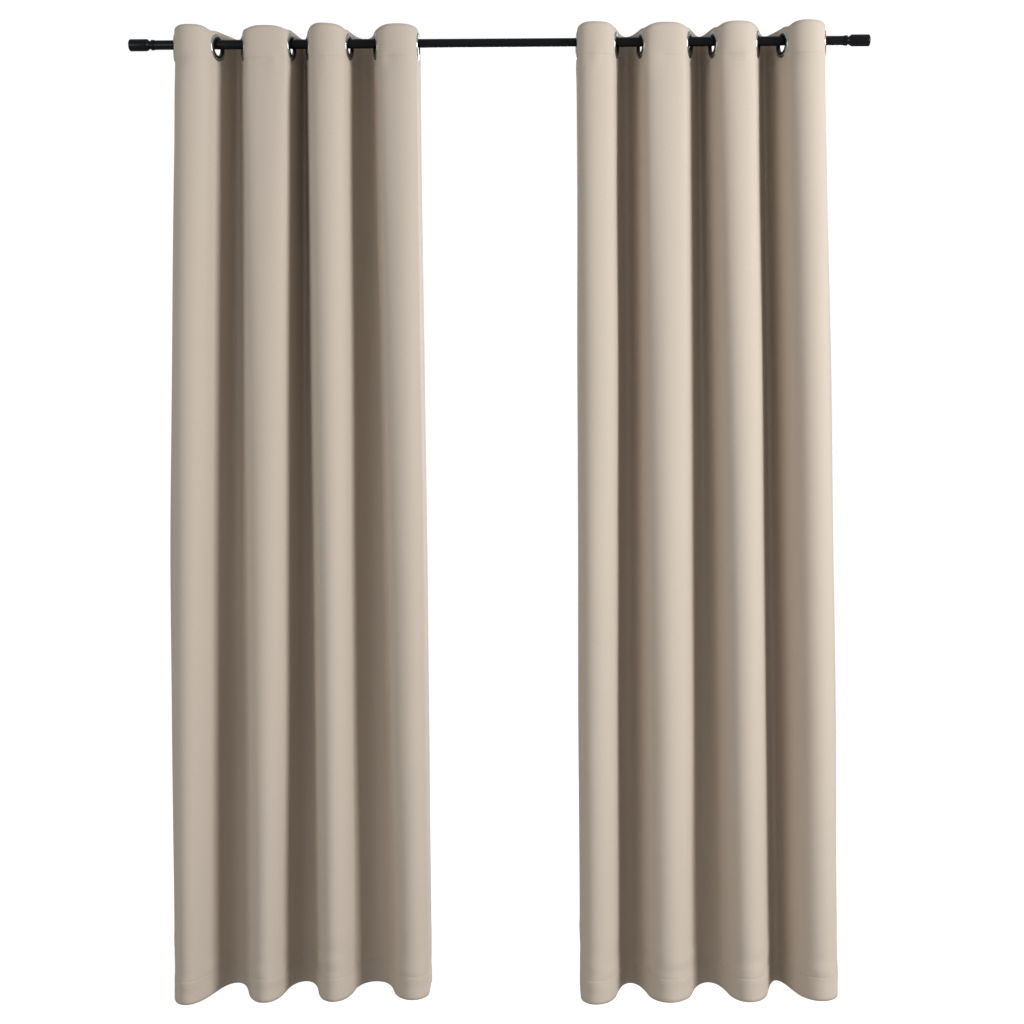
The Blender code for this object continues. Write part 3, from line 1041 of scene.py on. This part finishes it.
class CURTAINS_OT_eyelets(bpy.types.Operator):
    """Make the eyelets, each with a lip painted near-black as a reflection of the rod, a pale flange and a
    washer behind the cloth
    """

    bl_idname = "curtains.eyelets"
    bl_label = "Make Eyelets"

    def execute(self, context):
        look = context.scene.curtain_metal
        clean, rubbed = look.eyelet_colour, tuple(0.93 * c for c in look.eyelet_colour)
        pale = metal_material("pale_polished_metal", clean, rubbed, 1.0, (0.14, 0.26), 0.5, 0.00002)
        # painted reflection: the lip's near-black stands for the dark rod mirrored in the eyelet's metal
        clean, rubbed = (0.004, 0.004, 0.004), (0.008, 0.008, 0.008)
        black = metal_material("dark_lip_metal", clean, rubbed, 0.0, (0.2, 0.34), 0.25, 0.00002)
        kinds = (
            ("eyelet_lip", lip_profile(), black, "black_metal", "eyelet"),
            ("eyelet_flange", flange_profile(), pale, "satin_nickel", None),
            ("eyelet_washer", washer_profile(), pale, "satin_nickel", "washer"),
        )
        for name in SIDES:
            panel = Panel(name)
            for number, (x, face) in enumerate(panel.eyelet_places(), 1):
                for kind, profile, material, slot, node in kinds:
                    piece = turned(f"{name}_{kind}_{number}", profile, EYELET_STEPS, material)
                    piece.matrix_world = Matrix.Translation((x, 0, panel.eyelet_height)) @ facing(face)
                    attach(piece, f"{name}_hanger_{number}")
                    if node:
                        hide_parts(f"{name}_{node}_{number}")
        return {"FINISHED"}


class CURTAINS_OT_rod(bpy.types.Operator):
    """Make the rod: its centre tube, outer tubes, collars and finials"""

    bl_idname = "curtains.rod"
    bl_label = "Make Rod"

    def execute(self, context):
        look = context.scene.curtain_metal
        rubbed = tuple(c + 0.003 for c in look.rod_colour)
        black = metal_material("black_enamel", look.rod_colour, rubbed, 0.0, (0.14, 0.26), 0.16, 0.00003)
        low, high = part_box("centre_tube")
        pieces = [("centre_tube", tube_profile(high.z, low.x, high.x), along_x(0, 1), "rod")]
        for name, side in SIDES.items():
            body = f"{name}_rod_end"
            low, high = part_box(f"{name}_outer_tube")
            start, end = sorted((abs(low.x), abs(high.x)))
            outside = high.z
            place = along_x(side * end, side)
            collar_low, collar_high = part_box(f"{name}_collar")
            length = collar_high.x - collar_low.x
            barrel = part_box(f"{name}_finial")[1].z
            pieces += [
                (f"{name}_outer_tube", tube_profile(outside, start - end, 0), place, body),
                (f"{name}_collar", collar_profile(outside + GAP, collar_high.z, length), place, body),
                (f"{name}_finial", finial_profile(barrel), place, body),
            ]
        for node, profile, place, body in pieces:
            piece = turned(f"{node}_black", profile, look.steps, black)
            piece.matrix_world = place
            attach(piece, body)
            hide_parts(node)
        return {"FINISHED"}


def add_light(name, place, target, size, power, colour):
    lamp = bpy.data.lights.new(name, "AREA")
    lamp.shape = "RECTANGLE"
    lamp.size, lamp.size_y = size
    lamp.energy = power
    lamp.color = colour
    light = bpy.data.objects.new(name, lamp)
    light.location = place
    light.rotation_euler = (Vector(target) - Vector(place)).to_track_quat("-Z", "Y").to_euler()
    bpy.context.scene.collection.objects.link(light)


def add_camera():
    yaw, pitch, roll = (math.radians(a) for a in (CAMERA_YAW, CAMERA_PITCH, CAMERA_ROLL))
    forward = Vector((-math.sin(yaw) * math.cos(pitch), math.cos(yaw) * math.cos(pitch), -math.sin(pitch)))
    right = Vector((math.cos(yaw), math.sin(yaw), 0))
    up = right.cross(forward)
    turned_right = math.cos(roll) * right + math.sin(roll) * up
    turned_up = math.cos(roll) * up - math.sin(roll) * right
    lens = bpy.data.cameras.new("camera")
    lens.lens, lens.sensor_width = CAMERA_LENS, CAMERA_SENSOR
    camera = bpy.data.objects.new("camera", lens)
    camera.matrix_world = Matrix.Translation(CAMERA_PLACE) @ (
        Matrix((turned_right, turned_up, -forward)).transposed().to_4x4()
    )
    bpy.context.scene.collection.objects.link(camera)
    bpy.context.scene.camera = camera


def add_world():
    """White all round, and dimmer as a light than it looks, so that the folds keep their shade."""
    world = bpy.data.worlds.new("studio")
    world.use_nodes = True
    bpy.context.scene.world = world
    nodes = Nodes(world.node_tree)
    background = world.node_tree.nodes["Background"]
    path = nodes.add("ShaderNodeLightPath")
    tint = nodes.blend(path.outputs["Is Camera Ray"], SKY_TINT, (1, 1, 1, 1))
    nodes.feed(tint, background.inputs["Color"])
    seen = nodes.math("MULTIPLY", path.outputs["Is Camera Ray"], SKY_SEEN)
    mirrored = nodes.math("MULTIPLY", path.outputs["Is Glossy Ray"], SKY_MIRRORED)
    strength = nodes.math("ADD", nodes.math("ADD", seen, mirrored), SKY_LIGHT)
    nodes.feed(strength, background.inputs["Strength"])


def add_floor(height):
    """A pale disc under the hems, which fades out well before its rim."""
    bm = bmesh.new()
    bmesh.ops.create_circle(bm, cap_ends=True, segments=96, radius=FLOOR_RADIUS)
    mesh = bpy.data.meshes.new("floor")
    bm.to_mesh(mesh)
    bm.free()
    material, nodes, shader = new_material("pale_floor")
    place = nodes.add("ShaderNodeTexCoord").outputs["Object"]
    length = nodes.add("ShaderNodeVectorMath", operation="LENGTH")
    nodes.feed(place, length.inputs[0])
    tone = nodes.noise(place, 3.0, 4.0)
    nodes.feed(nodes.blend(tone, *FLOOR_TONES), shader.inputs["Base Color"])
    shader.inputs["Roughness"].default_value = 0.7
    shader.inputs["Specular IOR Level"].default_value = 0.2
    shader.inputs["Emission Color"].default_value = (1, 1, 1, 1)
    seen = nodes.add("ShaderNodeLightPath").outputs["Is Camera Ray"]
    nodes.feed(nodes.math("MULTIPLY", seen, FLOOR_GLOW), shader.inputs["Emission Strength"])
    clear = nodes.add("ShaderNodeBsdfTransparent")
    mix = nodes.add("ShaderNodeMixShader")
    nodes.feed(nodes.remap(length.outputs["Value"], FLOOR_FADE, FLOOR_CLEAR, 0, 1), mix.inputs["Fac"])
    nodes.feed(shader.outputs["BSDF"], mix.inputs[1])
    nodes.feed(clear.outputs["BSDF"], mix.inputs[2])
    nodes.feed(mix.outputs["Shader"], material.node_tree.nodes["Material Output"].inputs["Surface"])
    floor = add_piece("floor", mesh, material)
    floor.location.z = height
    floor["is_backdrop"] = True


class CURTAINS_OT_stage(bpy.types.Operator):
    """Set the floor, the soft lights, the white surroundings and the camera"""

    bl_idname = "curtains.stage"
    bl_label = "Set Stage"

    def execute(self, context):
        look = context.scene.curtain_stage
        add_floor(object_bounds()[0].z - look.floor_gap)
        middle = (FRAME_BOX[0] + FRAME_BOX[1]) / 2
        for name, (place, size, colour) in LIGHTS.items():
            add_light(name, place, middle, size, getattr(look, f"{name}_power"), colour)
        add_world()
        add_camera()
        context.scene.view_settings.view_transform = "Standard"
        context.scene.view_settings.look = "None"
        return {"FINISHED"}


class CURTAINS_PT_panel(bpy.types.Panel):
    """The pieces of the curtains and their settings"""

    bl_idname = "CURTAINS_PT_panel"
    bl_label = "Eyelet Curtains"
    bl_space_type = "VIEW_3D"
    bl_region_type = "UI"
    bl_category = "Curtains"

    def draw(self, context):
        layout = self.layout
        for title, settings, operators in PANEL_ROWS:
            box = layout.box()
            box.label(text=title)
            group = getattr(context.scene, settings)
            for name in group.bl_rna.properties.keys():
                if name not in ("rna_type", "name"):
                    box.prop(group, name)
            for operator in operators:
                box.operator(operator.bl_idname)


PANEL_ROWS = (
    ("Cloth", "curtain_cloth", (CURTAINS_OT_cloth,)),
    ("Metal", "curtain_metal", (CURTAINS_OT_eyelets, CURTAINS_OT_rod)),
    ("Stage", "curtain_stage", (CURTAINS_OT_stage,)),
)
CLASSES = (
    CurtainClothLook,
    CurtainMetalLook,
    CurtainStageLook,
    CURTAINS_OT_cloth,
    CURTAINS_OT_eyelets,
    CURTAINS_OT_rod,
    CURTAINS_OT_stage,
    CURTAINS_PT_panel,
)


def register():
    for cls in CLASSES:
        bpy.utils.register_class(cls)
    bpy.types.Scene.curtain_cloth = PointerProperty(type=CurtainClothLook)
    bpy.types.Scene.curtain_metal = PointerProperty(type=CurtainMetalLook)
    bpy.types.Scene.curtain_stage = PointerProperty(type=CurtainStageLook)


def unregister():
    del bpy.types.Scene.curtain_stage
    del bpy.types.Scene.curtain_metal
    del bpy.types.Scene.curtain_cloth
    for cls in reversed(CLASSES):
        bpy.utils.unregister_class(cls)


def main():
    register()
    bpy.ops.curtains.rod()
    bpy.ops.curtains.eyelets()
    bpy.ops.curtains.cloth()
    bpy.ops.curtains.stage()


if __name__ == "__main__":
    main()
